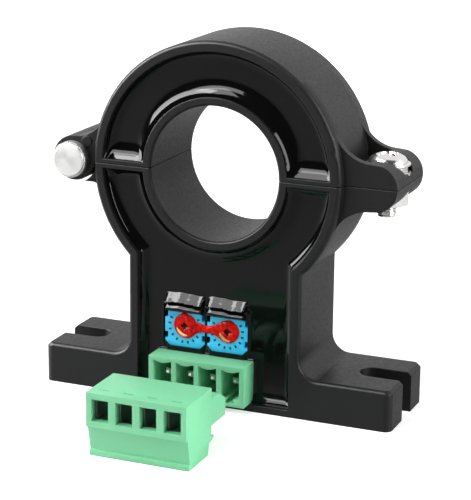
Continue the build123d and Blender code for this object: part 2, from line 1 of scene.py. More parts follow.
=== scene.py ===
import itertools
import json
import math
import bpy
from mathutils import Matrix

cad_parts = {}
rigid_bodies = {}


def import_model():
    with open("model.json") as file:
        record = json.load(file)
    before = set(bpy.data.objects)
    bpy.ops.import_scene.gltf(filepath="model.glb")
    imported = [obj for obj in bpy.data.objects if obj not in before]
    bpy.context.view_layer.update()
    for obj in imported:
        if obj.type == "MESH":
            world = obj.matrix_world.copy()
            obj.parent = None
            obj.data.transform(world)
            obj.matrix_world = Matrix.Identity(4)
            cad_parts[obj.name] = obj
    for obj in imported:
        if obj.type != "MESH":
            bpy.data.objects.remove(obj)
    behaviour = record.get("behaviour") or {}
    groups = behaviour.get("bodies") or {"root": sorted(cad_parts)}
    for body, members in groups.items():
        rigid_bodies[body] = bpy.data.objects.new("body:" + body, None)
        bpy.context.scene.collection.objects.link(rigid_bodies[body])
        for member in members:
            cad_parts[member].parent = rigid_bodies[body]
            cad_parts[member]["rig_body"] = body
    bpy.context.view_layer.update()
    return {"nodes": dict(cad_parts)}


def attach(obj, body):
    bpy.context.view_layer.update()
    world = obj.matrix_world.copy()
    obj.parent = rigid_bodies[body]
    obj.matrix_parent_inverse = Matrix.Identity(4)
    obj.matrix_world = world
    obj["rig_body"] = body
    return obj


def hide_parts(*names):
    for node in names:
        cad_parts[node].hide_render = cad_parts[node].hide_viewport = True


bl_info = {
    "name": "Split-Core Current Sensor",
    "version": (1, 0, 0),
    "blender": (4, 5, 0),
    "location": "3D View > Sidebar > Sensor",
    "description": "Dresses a hinged current sensor: housing, resin, trimmers, terminals, screws",
    "category": "Object",
}

import bmesh
import bpy
import numpy as np
from mathutils import Matrix, Vector

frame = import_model()

MM = 0.001
POLES = (1, 2, 3, 4)
SIDES = ("left", "right")
METAL_INSIDE = [f"plug_{part}_{i}" for part in ("clamp", "screw", "contact") for i in POLES]

# places and radii of the CAD model, in millimetres

BORE_Z = 37.0
COLLAR = 11.8
POCKET = 18.7
RING = 20.3
RING_CUT = 20.2
EAR_HALF_WIDTH = 5.3
COLUMN = 12.75
COLUMN_BLOCK = ((12.78, -5.6, 20.9), (14.35, 5.6, 22.9))
FLOOR_Z = 1.1
RIB = 0.7
EDGE_Y = -7.45
LEVEL_Y = -5.95
RESIN_BACK = -0.95
TRIMMER_XS = (-5.4, 1.8)
TRIMMER_Z = 11.75
TRIMMER_HALF = 3.4
TRIMMER_TOP = 13.98
TRIMMER_FRONT = -6.2
HEADER_X = -1.8
HEADER_HALF = 8.06
HEADER_TOP = 7.6
HEADER_SKIN_HALF = 7.76
HEADER_SKIN_TOP = 7.3
HINGE_X = -24.4
KNOB_RADIUS = 2.9
KNOB_BACK = -6.4
KNOB_MIDDLE = -7.45
KNOB_WIDTH = 1.45
SCREW_X = 25.0
SCREW_TIP = 31.52
SCREW_NECK = 38.6
THREAD_CORE = 1.26
THREAD_OUTER = 1.5
NOSE_RADIUS = 3.6
HEAD_ROOM = 3.7
SEAT = 1.4

# forms of the dressing: lengths in millimetres, turns, starts and sweeps in degrees

CORNER_CUT = 0.85
KNOB_SHARE = 0.91
KNURL_RIDGE = 0.2
COLLAR_ARC = 3.2
WALL_ARC = 1.7
CAP_RIB_ARC = 4.0
BASE_RIB_ARC = 2.2
HEADER_ARC = (0.5, 0.3)
TRIMMER_ARC = (0.9, 0.3)
RIDGE_Z = (13.98, 14.3, 14.55, 14.75, 15.4, 15.5, 15.68, 16.3, 17.05)
RIDGE_RISE = (0.3, 0.85, 1.0, 0.97, 0.45, 0.46, 0.93, 0.55, 0.0)
RIDGE_DRIFT = (14.4, 15.2)
RIDGE_END = (2.85, 3.42)
LACQUER_SPOTS = ((-5.32, 11.84, 2.0), (1.9, 11.82, 1.9))
LACQUER_BACK = -6.12
LACQUER_FRONT = -6.64
LACQUER_RISE = 0.36
WAIST_X = -1.8
WAIST_HALF = 0.62
WAIST_REACH = 2.9
BARE_TURN = -125
BARE_SWEEP = 48
BARE_HALF = 0.24
BARE_INSET = 0.48
STAR_ARMS = ((0.8, 0.3), (0.3, 0.75))
STAR_CORE = 0.5
DENT_DEPTH = 0.3
TICK_RADIUS = 2.6
TICK_START = 152
TICK_SWEEP = 238
RECESS_REACH = 1.7
RECESS_HALF_WIDTH = 0.42
RECESS_DEPTH = 0.75
HEAD_PROFILE = (
    (0.02, 41.25), (1.0, 41.2), (1.9, 41.0), (2.6, 40.6), (2.92, 40.15), (2.98, 39.85),
    (3.3, 39.8), (3.42, 39.68), (3.42, 39.5), (3.3, 39.38), (3.0, 39.33),
    (3.0, 38.52), (0.02, 38.52),
)

# studio, in metres, watts and degrees

LAMP_AIM = (0, 0, 0.03)
LAMPS = (
    # name, place, size, power, kind of ray that doesn't see it
    ("overhead_softbox", (-0.22, -0.26, 0.52), (0.3, 0.3), 2.8, None),
    ("left_softbox", (-0.56, -0.06, 0.2), (0.2, 0.26), 1.4, None),
    ("right_softbox", (0.56, -0.04, 0.24), (0.3, 0.4), 4.2, None),
    ("left_reflector", (-0.45, -0.12, 0.34), (0.46, 0.56), 16.0, "diffuse"),
    ("front_reflector", (-0.23, -0.42, 0.42), (0.36, 0.18), 2.2, "diffuse"),
    ("front_fill", (0.1, -0.7, 0.3), (0.4, 0.4), 0.4, "glossy"),
)
FLOOR_HALF = 3.0
CAMERA_AIM = (0.00013, 0, 0.02371)
CAMERA_AWAY = 0.28834
CAMERA_TURN = 22.57
CAMERA_TILT = 15.47
CAMERA_ROLL = 0.59
CAMERA_LENS = 132.53
CAMERA_SHIFT = (0.0039, -0.006)


# settings


class SensorFinishes(bpy.types.PropertyGroup):
    """Colours and finishes of the sensor's materials."""

    housing: bpy.props.FloatVectorProperty(
        name="Housing", description="Colour of the moulded housing halves",
        default=(0.008, 0.008, 0.0084), size=3, min=0.0, max=1.0, subtype="COLOR",
    )
    resin: bpy.props.FloatVectorProperty(
        name="Resin", description="Colour of the cast resin",
        default=(0.002, 0.002, 0.0022), size=3, min=0.0, max=1.0, subtype="COLOR",
    )
    header: bpy.props.FloatVectorProperty(
        name="Header", description="Colour of the header on the board",
        default=(0.14, 0.47, 0.25), size=3, min=0.0, max=1.0, subtype="COLOR",
    )
    plug: bpy.props.FloatVectorProperty(
        name="Plug", description="Colour of the loose plug",
        default=(0.18, 0.57, 0.31), size=3, min=0.0, max=1.0, subtype="COLOR",
    )
    trimmer: bpy.props.FloatVectorProperty(
        name="Trimmer", description="Colour of the trimmers' bodies",
        default=(0.03, 0.55, 0.93), size=3, min=0.0, max=1.0, subtype="COLOR",
    )
    lacquer: bpy.props.FloatVectorProperty(
        name="Lacquer", description="Colour of the sealing lacquer",
        default=(0.5, 0.006, 0.003), size=3, min=0.0, max=1.0, subtype="COLOR",
    )
    steel: bpy.props.FloatVectorProperty(
        name="Steel", description="Colour of the plated screws",
        default=(0.78, 0.77, 0.75), size=3, min=0.0, max=1.0, subtype="COLOR",
    )


class SensorSizes(bpy.types.PropertyGroup):
    """Sizes of the details that the dressing adds."""

    collar_climb: bpy.props.FloatProperty(
        name="Resin climb", description="How far the resin climbs at the bore collar",
        default=1.5 * MM, min=0.0, unit="LENGTH",
    )
    wall_climb: bpy.props.FloatProperty(
        name="Wall climb", description="How far the resin climbs at the outer walls",
        default=1.2 * MM, min=0.0, unit="LENGTH",
    )
    ridge_height: bpy.props.FloatProperty(
        name="Ridge height", description="Height of the resin swells over the trimmers",
        default=1.3 * MM, min=0.0, unit="LENGTH",
    )
    knurl_count: bpy.props.IntProperty(
        name="Knurl ridges", description="Ridges round the head of the hinge screw",
        default=46, min=8, max=120,
    )
    knurl_depth: bpy.props.FloatProperty(
        name="Knurl depth", description="Height of a knurl ridge",
        default=0.2 * MM, min=0.0, unit="LENGTH",
    )
    tick_count: bpy.props.IntProperty(
        name="Ticks", description="Scale ticks round each trimmer rotor",
        default=12, min=3, max=60,
    )
    tick_length: bpy.props.FloatProperty(
        name="Tick length", description="Radial length of a scale tick",
        default=0.45 * MM, min=0.0, unit="LENGTH",
    )
    thread_pitch: bpy.props.FloatProperty(
        name="Thread pitch", description="Pitch of the clamp screw's thread",
        default=0.5 * MM, min=0.0001, unit="LENGTH",
    )


# helpers


def finishes():
    return bpy.context.scene.sensor_finishes


def sizes():
    return bpy.context.scene.sensor_sizes


def new_object(name, data):
    obj = bpy.data.objects.new(name, data)
    bpy.context.scene.collection.objects.link(obj)
    return obj


def mesh_from(name, points, faces):
    """Mesh in metres from points in millimetres."""
    mesh = bpy.data.meshes.new(name)
    mesh.from_pydata([tuple(c * MM for c in p) for p in points], [], faces)
    mesh.validate()
    mesh.update()
    return mesh


def outward(mesh, merge=1e-6):
    """Merge doubles and turn every face outwards."""
    bm = bmesh.new()
    bm.from_mesh(mesh)
    bmesh.ops.remove_doubles(bm, verts=bm.verts, dist=merge)
    bmesh.ops.recalc_face_normals(bm, faces=bm.faces)
    bm.to_mesh(mesh)
    bm.free()


def soften(mesh, angle=32.0):
    """Smooth shading with the edges past an angle kept sharp."""
    mesh.polygons.foreach_set("use_smooth", [True] * len(mesh.polygons))
    mesh.set_sharp_from_angle(angle=math.radians(angle))


def set_material(obj, material):
    obj.data.materials.clear()
    obj.data.materials.append(material)


def evaluated_mesh(obj, name):
    """Plain mesh of an object with its modifiers applied; the modifiers are removed."""
    made = bpy.data.meshes.new_from_object(
        obj.evaluated_get(bpy.context.evaluated_depsgraph_get())
    )
    obj.modifiers.clear()
    obj.data = made
    made.name = name


def add_block(obj, low, high):
    """Join a block, given by two corners in millimetres, to an object's solid."""
    corners = list(itertools.product(*zip(low, high)))
    sides = [(0, 1, 3, 2), (4, 6, 7, 5), (0, 4, 5, 1), (2, 3, 7, 6), (0, 2, 6, 4), (1, 5, 7, 3)]
    block = new_object("added_block", mesh_from("added_block", corners, sides))
    outward(block.data)
    union = obj.modifiers.new("union", "BOOLEAN")
    union.operation = "UNION"
    union.solver = "EXACT"
    union.object = block
    evaluated_mesh(obj, obj.data.name)
    bpy.data.objects.remove(block)


def ring_radius_of(vertex):
    """Distance of a vertex from the bore's axis, in millimetres."""
    return math.hypot(vertex.co.x / MM, vertex.co.z / MM - BORE_Z)


def flush_ring(bm):
    """Move the shallow root cuts beside the ears out to the ring's surface."""
    between = [v for v in bm.verts if abs(v.co.y / MM) < EAR_HALF_WIDTH]
    for v in between:
        away = ring_radius_of(v)
        if abs(away - RING_CUT) < 0.03:
            v.co.x *= RING / away
            v.co.z = (BORE_Z + (v.co.z / MM - BORE_Z) * RING / away) * MM
    near = [v for v in between if abs(ring_radius_of(v) - RING) < 0.01]
    bmesh.ops.remove_doubles(bm, verts=near, dist=0.13 * MM)


def round_nose(bm):
    """Draw the corners of the clamp ear's nose in to a full round.

    The wall of the screw head's room keeps its place and only gets lower."""
    for v in bm.verts:
        x, z = v.co.x / MM - SCREW_X, v.co.z / MM - BORE_Z
        away = math.hypot(x, z)
        if x <= 0 or not NOSE_RADIUS < away < 1.3 * NOSE_RADIUS:
            continue
        if z > 0 and abs(math.hypot(x, v.co.y / MM) - HEAD_ROOM) < 0.12:
            x = min(x, math.sqrt(NOSE_RADIUS**2 - SEAT**2))
            z = math.sqrt(NOSE_RADIUS**2 - x**2)
            away = NOSE_RADIUS
        v.co.x = (SCREW_X + x * NOSE_RADIUS / away) * MM
        v.co.z = (BORE_Z + z * NOSE_RADIUS / away) * MM


def moulded_copy(node, piece, material, bevel=0.0, angle=32.0, weighted=False, block=None):
    """Merged, softly shaded copy of a CAD node, with its edges broken where asked."""
    source = frame["nodes"][node]
    mesh = source.data.copy()
    mesh.name = piece
    bm = bmesh.new()
    bm.from_mesh(mesh)
    if node.endswith("_housing") and weighted:
        flush_ring(bm)
        round_nose(bm)
    bmesh.ops.remove_doubles(bm, verts=bm.verts, dist=2e-6)
    if bevel or weighted:
        bmesh.ops.dissolve_limit(
            bm, angle_limit=math.radians(1.0), verts=bm.verts, edges=bm.edges,
        )
    bm.to_mesh(mesh)
    bm.free()
    obj = new_object(piece, mesh)
    if mesh.has_custom_normals:
        bpy.context.view_layer.objects.active = obj
        bpy.ops.mesh.customdata_custom_splitnormals_clear()
    if block:
        add_block(obj, *block)
    if bevel:
        rounding = obj.modifiers.new("edges", "BEVEL")
        rounding.width = bevel
        rounding.segments = 2
        rounding.limit_method = "ANGLE"
        rounding.angle_limit = math.radians(35)
        evaluated_mesh(obj, piece)
    soften(obj.data, angle)
    if weighted:
        faces = obj.modifiers.new("faces", "WEIGHTED_NORMAL")
        faces.keep_sharp = True
        faces.weight = 60
        evaluated_mesh(obj, piece)
    set_material(obj, material)
    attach(obj, source["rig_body"])
    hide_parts(node)
    return obj


# shader node groups


def group(name, inputs, outputs):
    """Empty shader node group with float inputs and outputs."""
    tree = bpy.data.node_groups.new(name, "ShaderNodeTree")
    for label, value in inputs:
        socket = tree.interface.new_socket(label, in_out="INPUT", socket_type="NodeSocketFloat")
        socket.default_value = value
    for label in outputs:
        tree.interface.new_socket(label, in_out="OUTPUT", socket_type="NodeSocketFloat")
    return tree, tree.nodes.new("NodeGroupInput"), tree.nodes.new("NodeGroupOutput")


def math_node(tree, operation, a, b=None, c=None):
    node = tree.nodes.new("ShaderNodeMath")
    node.operation = operation
    for i, value in enumerate((a, b, c)):
        if value is None:
            continue
        if isinstance(value, (int, float)):
            node.inputs[i].default_value = value
        else:
            tree.links.new(value, node.inputs[i])
    return node.outputs[0]


def noise_node(tree, vector, scale, detail=2.0, roughness=0.5, distortion=0.0):
    node = tree.nodes.new("ShaderNodeTexNoise")
    tree.links.new(vector, node.inputs["Vector"])
    if isinstance(scale, (int, float)):
        node.inputs["Scale"].default_value = scale
    else:
        tree.links.new(scale, node.inputs["Scale"])
    node.inputs["Detail"].default_value = detail
    node.inputs["Roughness"].default_value = roughness
    node.inputs["Distortion"].default_value = distortion
    return node.outputs["Fac"]


def moulded_grain():
    """Spark-eroded mould grain with slow cloudy variation."""
    name = "moulded_grain"
    if name in bpy.data.node_groups:
        return bpy.data.node_groups[name]
    tree, given, out = group(
        name,
        [("Grain Scale", 9000.0), ("Cloud Scale", 160.0), ("Cloud Amount", 0.2)],
        ["Height", "Cloud", "Fleck"],
    )
    place = tree.nodes.new("ShaderNodeTexCoord").outputs["Object"]
    grain = noise_node(tree, place, given.outputs["Grain Scale"], detail=2.0, roughness=0.6)
    cloud = noise_node(tree, place, given.outputs["Cloud Scale"], detail=3.0, roughness=0.55)
    centred = math_node(tree, "SUBTRACT", cloud, 0.5)
    cloud = math_node(tree, "MULTIPLY_ADD", centred, given.outputs["Cloud Amount"], 0.5)
    fleck = noise_node(tree, place, 2400.0, detail=1.0)
    tree.links.new(grain, out.inputs["Height"])
    tree.links.new(cloud, out.inputs["Cloud"])
    tree.links.new(fleck, out.inputs["Fleck"])
    return tree


def turned_lines():
    """Fine lines left by turning or brushing, along one axis."""
    name = "turned_lines"
    if name in bpy.data.node_groups:
        return bpy.data.node_groups[name]
    tree, given, out = group(
        name, [("Stretch", 0.06), ("Line Scale", 7000.0)], ["Height", "Streak"]
    )
    place = tree.nodes.new("ShaderNodeTexCoord").outputs["Object"]
    parts = tree.nodes.new("ShaderNodeSeparateXYZ")
    tree.links.new(place, parts.inputs[0])
    drawn = tree.nodes.new("ShaderNodeCombineXYZ")
    for axis in (0, 2):
        longer = math_node(tree, "MULTIPLY", parts.outputs[axis], given.outputs["Stretch"])
        tree.links.new(longer, drawn.inputs[axis])
    tree.links.new(parts.outputs[1], drawn.inputs[1])
    fine = noise_node(tree, drawn.outputs[0], given.outputs["Line Scale"], detail=3.0)
    broad = noise_node(tree, place, 500.0, detail=2.0)
    tree.links.new(fine, out.inputs["Height"])
    tree.links.new(broad, out.inputs["Streak"])
    return tree


# materials


def material(name):
    """New node material; returns its tree and its Principled BSDF."""
    made = bpy.data.materials.new(name)
    made.use_nodes = True
    tree = made.node_tree
    return made, tree, tree.nodes["Principled BSDF"]


def place_group(tree, shared, **values):
    node = tree.nodes.new("ShaderNodeGroup")
    node.node_tree = shared
    for label, value in values.items():
        node.inputs[label.replace("_", " ")].default_value = value
    return node


def mapped(tree, value, start, stop, low, high, smooth=False):
    """Map start..stop to low..high, in a straight line or eased."""
    node = tree.nodes.new("ShaderNodeMapRange")
    if smooth:
        node.interpolation_type = "SMOOTHSTEP"
    tree.links.new(value, node.inputs["Value"])
    node.inputs["From Min"].default_value = start
    node.inputs["From Max"].default_value = stop
    node.inputs["To Min"].default_value = low
    node.inputs["To Max"].default_value = high
    return node.outputs["Result"]


def span(tree, value, low, high):
    """Map the middle of a noise's range to low..high."""
    return mapped(tree, value, 0.3, 0.7, low, high)


def two_tones(tree, factor, dark, light):
    node = tree.nodes.new("ShaderNodeMix")
    node.data_type = "RGBA"
    tree.links.new(factor, node.inputs["Factor"])
    node.inputs["A"].default_value = (*dark, 1.0)
    node.inputs["B"].default_value = (*light, 1.0)
    return node.outputs["Result"]


def bumped(tree, height, strength, distance, base=None):
    node = tree.nodes.new("ShaderNodeBump")
    node.inputs["Strength"].default_value = strength
    node.inputs["Distance"].default_value = distance
    tree.links.new(height, node.inputs["Height"])
    if base is not None:
        tree.links.new(base, node.inputs["Normal"])
    return node.outputs["Normal"]


def rounded_edges(tree, radius):
    """Normal that turns softly over sharp edges."""
    node = tree.nodes.new("ShaderNodeBevel")
    node.samples = 6
    node.inputs["Radius"].default_value = radius
    return node.outputs["Normal"]


def scaled(colour, factor):
    return tuple(min(1.0, c * factor) for c in colour)


def moulded_plastic(name, colour, rough, grain=0.25, edge=0.0, spread=0.12, specular=0.5):
    """Moulded plastic with eroded grain, cloudy tone and softly broken edges."""
    made, tree, shader = material(name)
    grainy = place_group(tree, moulded_grain())
    tone = two_tones(
        tree, grainy.outputs["Cloud"], scaled(colour, 1 - spread), scaled(colour, 1 + spread)
    )
    tree.links.new(tone, shader.inputs["Base Color"])
    tree.links.new(span(tree, grainy.outputs["Fleck"], *rough), shader.inputs["Roughness"])
    base = rounded_edges(tree, edge) if edge else None
    normal = bumped(tree, grainy.outputs["Height"], grain, 0.00003, base)
    tree.links.new(normal, shader.inputs["Normal"])
    shader.inputs["Specular IOR Level"].default_value = specular
    return made


def cast_resin(name, colour):
    """Self-levelled glossy resin with slow waves in its skin."""
    made, tree, shader = material(name)
    grainy = place_group(tree, moulded_grain(), Grain_Scale=330.0, Cloud_Scale=120.0)
    tone = two_tones(tree, grainy.outputs["Cloud"], colour, scaled(colour, 1.6))
    tree.links.new(tone, shader.inputs["Base Color"])
    tree.links.new(span(tree, grainy.outputs["Cloud"], 0.05, 0.09), shader.inputs["Roughness"])
    normal = bumped(tree, grainy.outputs["Height"], 0.12, 0.00008)
    tree.links.new(normal, shader.inputs["Normal"])
    shader.inputs["Specular IOR Level"].default_value = 0.2
    return made


def plated_metal(name, colour, rough=(0.16, 0.3), lines=0.2, edge=0.0):
    """Plated or turned metal with fine lines and uneven shine."""
    made, tree, shader = material(name)
    turned = place_group(tree, turned_lines())
    tone = two_tones(tree, turned.outputs["Streak"], scaled(colour, 0.86), scaled(colour, 1.08))
    tree.links.new(tone, shader.inputs["Base Color"])
    tree.links.new(span(tree, turned.outputs["Streak"], *rough), shader.inputs["Roughness"])
    base = rounded_edges(tree, edge) if edge else None
    normal = bumped(tree, turned.outputs["Height"], lines, 0.00002, base)
    tree.links.new(normal, shader.inputs["Normal"])
    shader.inputs["Metallic"].default_value = 1.0
    return made


def sealing_paint(name, colour):
    """Glossy lacquer with a cloudy tone; a very dark copy is the painted shade in the slot dents.
    """
    made, tree, shader = material(name)
    grainy = place_group(
        tree, moulded_grain(), Grain_Scale=1300.0, Cloud_Scale=800.0, Cloud_Amount=1.6
    )
    tone = two_tones(tree, grainy.outputs["Cloud"], scaled(colour, 0.4), scaled(colour, 1.9))
    tree.links.new(tone, shader.inputs["Base Color"])
    tree.links.new(span(tree, grainy.outputs["Fleck"], 0.05, 0.1), shader.inputs["Roughness"])
    tree.links.new(bumped(tree, grainy.outputs["Height"], 0.3, 0.0001), shader.inputs["Normal"])
    shader.inputs["Specular IOR Level"].default_value = 0.08
    return made


def wound_core(name):
    """Dark core with the thin edges of its wound strip."""
    made, tree, shader = material(name)
    place = tree.nodes.new("ShaderNodeTexCoord").outputs["Object"]
    mapping = tree.nodes.new("ShaderNodeMapping")
    mapping.inputs["Location"].default_value = (0.0, 0.0, -BORE_Z * MM)
    tree.links.new(place, mapping.inputs["Vector"])
    parts = tree.nodes.new("ShaderNodeSeparateXYZ")
    tree.links.new(mapping.outputs[0], parts.inputs[0])
    square = math_node(tree, "MULTIPLY", parts.outputs[0], parts.outputs[0])
    square = math_node(tree, "MULTIPLY_ADD", parts.outputs[2], parts.outputs[2], square)
    radius = math_node(tree, "SQRT", square)
    wave = math_node(tree, "SINE", math_node(tree, "MULTIPLY", radius, 21000.0))
    level = math_node(tree, "MULTIPLY_ADD", wave, 0.5, 0.5)
    tone = two_tones(tree, level, (0.06, 0.06, 0.065), (0.2, 0.2, 0.21))
    tree.links.new(tone, shader.inputs["Base Color"])
    tree.links.new(bumped(tree, level, 0.4, 0.00005), shader.inputs["Normal"])
    shader.inputs["Metallic"].default_value = 0.8
    shader.inputs["Roughness"].default_value = 0.42
    return made


FINISH = {}


def finish(name):
    """Material by its short name; all are built at the first call."""
    if not FINISH:
        make_finishes()
    return FINISH[name]


def make_finishes():
    """Build every material from the settings."""
    look = finishes()
    FINISH["housing"] = moulded_plastic(
        "housing_black", tuple(look.housing), rough=(0.36, 0.48), grain=0.35, edge=0.22 * MM,
        specular=0.22,
    )
    FINISH["resin"] = cast_resin("cast_resin_black", tuple(look.resin))
    FINISH["header"] = moulded_plastic(
        "header_green_plastic", tuple(look.header), rough=(0.4, 0.52), grain=0.15, spread=0.06
    )
    FINISH["plug"] = moulded_plastic(
        "plug_green_plastic", tuple(look.plug), rough=(0.4, 0.52), grain=0.15, spread=0.06
    )
    FINISH["trimmer"] = moulded_plastic(
        "trimmer_blue_plastic", tuple(look.trimmer), rough=(0.3, 0.4), grain=0.1, spread=0.08
    )
    FINISH["ink"] = moulded_plastic(
        "scale_tick_ink", (0.003, 0.012, 0.04), rough=(0.4, 0.5), grain=0.1
    )
    FINISH["lacquer"] = sealing_paint("sealing_lacquer_red", tuple(look.lacquer))
    # very dark copy of the lacquer: painted shade in the star-shaped dents over the rotor slots
    FINISH["dent_shade"] = sealing_paint("painted_dent_shade_lacquer", scaled(tuple(look.lacquer), 0.06))
    FINISH["clamp"] = plated_metal("clamp_steel", (0.34, 0.34, 0.35), rough=(0.35, 0.5))
    FINISH["steel"] = plated_metal(
        "plated_steel", tuple(look.steel), rough=(0.14, 0.26), edge=0.08 * MM
    )
    FINISH["knob"] = plated_metal(
        "knurled_steel", (0.73, 0.73, 0.72), rough=(0.3, 0.5), lines=0.5, edge=0.05 * MM
    )
    FINISH["pin"] = plated_metal("tinned_contact", (0.86, 0.85, 0.82), rough=(0.18, 0.28))
    FINISH["rotor"] = plated_metal("brass_rotor", (0.95, 0.74, 0.34), rough=(0.22, 0.34))
    FINISH["core"] = wound_core("wound_core_strip")
    FINISH["chip"] = moulded_plastic(
        "chip_black", (0.018, 0.018, 0.019), rough=(0.5, 0.6), grain=0.3
    )
    FINISH["board"] = moulded_plastic(
        "board_green_mask", (0.02, 0.12, 0.05), rough=(0.25, 0.35), grain=0.1
    )


# repeated bars


def radial_bars():
    """Geometry nodes that set short bars round a circle in X and Z."""
    name = "radial_bars"
    if name in bpy.data.node_groups:
        return bpy.data.node_groups[name]
    tree = bpy.data.node_groups.new(name, "GeometryNodeTree")
    face = tree.interface
    face.new_socket("Geometry", in_out="INPUT", socket_type="NodeSocketGeometry")
    for label, kind, value in (
        ("Count", "NodeSocketInt", 12),
        ("First Angle", "NodeSocketFloat", 0.0),
        ("Step Angle", "NodeSocketFloat", 0.3),
        ("Radius", "NodeSocketFloat", 0.0025),
        ("Size", "NodeSocketVector", (0.0005, 0.0001, 0.00016)),
        ("Centre", "NodeSocketVector", (0.0, 0.0, 0.0)),
    ):
        socket = face.new_socket(label, in_out="INPUT", socket_type=kind)
        socket.default_value = value
    face.new_socket("Finish", in_out="INPUT", socket_type="NodeSocketMaterial")
    face.new_socket("Geometry", in_out="OUTPUT", socket_type="NodeSocketGeometry")
    nodes, links = tree.nodes, tree.links
    given = nodes.new("NodeGroupInput")
    out = nodes.new("NodeGroupOutput")
    line = nodes.new("GeometryNodeMeshLine")
    links.new(given.outputs["Count"], line.inputs["Count"])
    line.inputs["Offset"].default_value = (0.0, 0.0, 0.0)
    index = nodes.new("GeometryNodeInputIndex")
    angle = math_node(tree, "MULTIPLY", index.outputs[0], given.outputs["Step Angle"])
    angle = math_node(tree, "ADD", angle, given.outputs["First Angle"])
    spot = nodes.new("ShaderNodeCombineXYZ")
    across = math_node(tree, "MULTIPLY", math_node(tree, "COSINE", angle), given.outputs["Radius"])
    upward = math_node(tree, "MULTIPLY", math_node(tree, "SINE", angle), given.outputs["Radius"])
    links.new(across, spot.inputs["X"])
    links.new(upward, spot.inputs["Z"])
    placed = nodes.new("GeometryNodeSetPosition")
    links.new(line.outputs["Mesh"], placed.inputs["Geometry"])
    links.new(spot.outputs[0], placed.inputs["Position"])
    bar = nodes.new("GeometryNodeMeshCube")
    links.new(given.outputs["Size"], bar.inputs["Size"])
    turned = nodes.new("ShaderNodeCombineXYZ")
    links.new(math_node(tree, "MULTIPLY", angle, -1.0), turned.inputs["Y"])
    copies = nodes.new("GeometryNodeInstanceOnPoints")
    links.new(placed.outputs[0], copies.inputs["Points"])
    links.new(bar.outputs["Mesh"], copies.inputs["Instance"])
    links.new(turned.outputs[0], copies.inputs["Rotation"])
    moved = nodes.new("GeometryNodeTransform")
    links.new(copies.outputs[0], moved.inputs["Geometry"])
    links.new(given.outputs["Centre"], moved.inputs["Translation"])
    real = nodes.new("GeometryNodeRealizeInstances")
    links.new(moved.outputs[0], real.inputs[0])
    painted = nodes.new("GeometryNodeSetMaterial")
    links.new(real.outputs[0], painted.inputs["Geometry"])
    links.new(given.outputs["Finish"], painted.inputs["Material"])
    links.new(painted.outputs[0], out.inputs["Geometry"])
    return tree


def bars_mesh(name, finish_name, **values):
    """Mesh of bars round a circle; lengths in millimetres, angles in degrees."""
    tree = radial_bars()
    mesh = mesh_from(name, [(0, 0, 0)], [])
    obj = new_object(name, mesh)
    modifier = obj.modifiers.new("bars", "NODES")
    modifier.node_group = tree
    inputs = [item for item in tree.interface.items_tree if item.in_out == "INPUT"]
    sockets = {item.name: item.identifier for item in inputs}
    modifier[sockets["Count"]] = values["count"]
    modifier[sockets["First Angle"]] = math.radians(values["first"])
    modifier[sockets["Step Angle"]] = math.radians(values["step"])
    modifier[sockets["Radius"]] = values["radius"] * MM
    modifier[sockets["Size"]] = [c * MM for c in values["size"]]
    modifier[sockets["Centre"]] = [c * MM for c in values["centre"]]
    modifier[sockets["Finish"]] = finish(finish_name)
    evaluated_mesh(obj, name)
    made = obj.data
    bpy.data.objects.remove(obj)
    return made


def joined(name, meshes):
    """One mesh from several, with the same material."""
    bm = bmesh.new()
    for mesh in meshes:
        bm.from_mesh(mesh)
    made = bpy.data.meshes.new(name)
    bm.to_mesh(made)
    bm.free()
    for mesh in meshes:
        bpy.data.meshes.remove(mesh)
    return made


# resin surfaces


def box_distance(x, z, cx, cz, hx, hz):
    """Signed distance to an upright rectangle."""
    dx = np.abs(x - cx) - hx
    dz = np.abs(z - cz) - hz
    outside = np.hypot(np.maximum(dx, 0), np.maximum(dz, 0))
    return outside + np.minimum(np.maximum(dx, dz), 0)


def grid_lines(low, high, step, fine_low=0.0, fine_high=0.0, fine_step=0.1):
    """Grid lines from low to high, closer together between the two fine limits."""
    if fine_high <= fine_low:
        return np.arange(low, high + step, step)
    before = np.arange(low, fine_low, step)
    inner = np.arange(fine_low, fine_high, fine_step)
    after = np.arange(fine_high, high + step, step)
    return np.concatenate([before, inner, after])


def build_skin(name, inside, height, xs, zs, back_y):
    """Closed skin on a grid: a shaped front, a wall round its outline and a flat back.

    inside(x, z) is the distance to the outline, positive inside; height gives the depth."""
    gx, gz = np.meshgrid(xs, zs)
    field = inside(gx, gz)
    ids = {}
    points = []

    def vertex(key, x, z):
        if key not in ids:
            ids[key] = len(points)
            points.append((x, z))
        return ids[key]

    faces = []
    rim = []
    rows, cols = field.shape
    for r in range(rows - 1):
        for c in range(cols - 1):
            corner = [(r, c), (r, c + 1), (r + 1, c + 1), (r + 1, c)]
            values = [field[k] for k in corner]
            if max(values) <= 0:
                continue
            loop = []
            cuts = []
            for i in range(4):
                a, b = corner[i], corner[(i + 1) % 4]
                va, vb = values[i], values[(i + 1) % 4]
                if va > 0:
                    loop.append(vertex(a, gx[a], gz[a]))
                if (va > 0) != (vb > 0):
                    t = va / (va - vb)
                    key = (min(a, b), max(a, b))
                    x = gx[a] + t * (gx[b] - gx[a])
                    z = gz[a] + t * (gz[b] - gz[a])
                    cut = vertex(key, x, z)
                    loop.append(cut)
                    cuts.append(cut)
            if len(loop) > 2:
                faces.append(loop)
            if len(cuts) == 2:
                rim.append(cuts)
    px = np.array([p[0] for p in points])
    pz = np.array([p[1] for p in points])
    py = height(px, pz)
    count = len(points)
    verts = [(x, y, z) for x, y, z in zip(px, py, pz)]
    verts += [(x, back_y, z) for x, z in points]
    back = [[i + count for i in reversed(loop)] for loop in faces]
    walls = [[a, b, b + count, a + count] for a, b in rim]
    mesh = mesh_from(name, verts, faces + back + walls)
    outward(mesh)
    return mesh


def arc_climb(distance, radius, full):
    """Climb beside a wall: an arc that leaves the level surface without a bend."""
    reach = math.sqrt(max(radius**2 - (radius - full) ** 2, 1e-9))
    away = reach - np.clip(distance, 0, reach)
    return radius - np.sqrt(radius**2 - away**2)


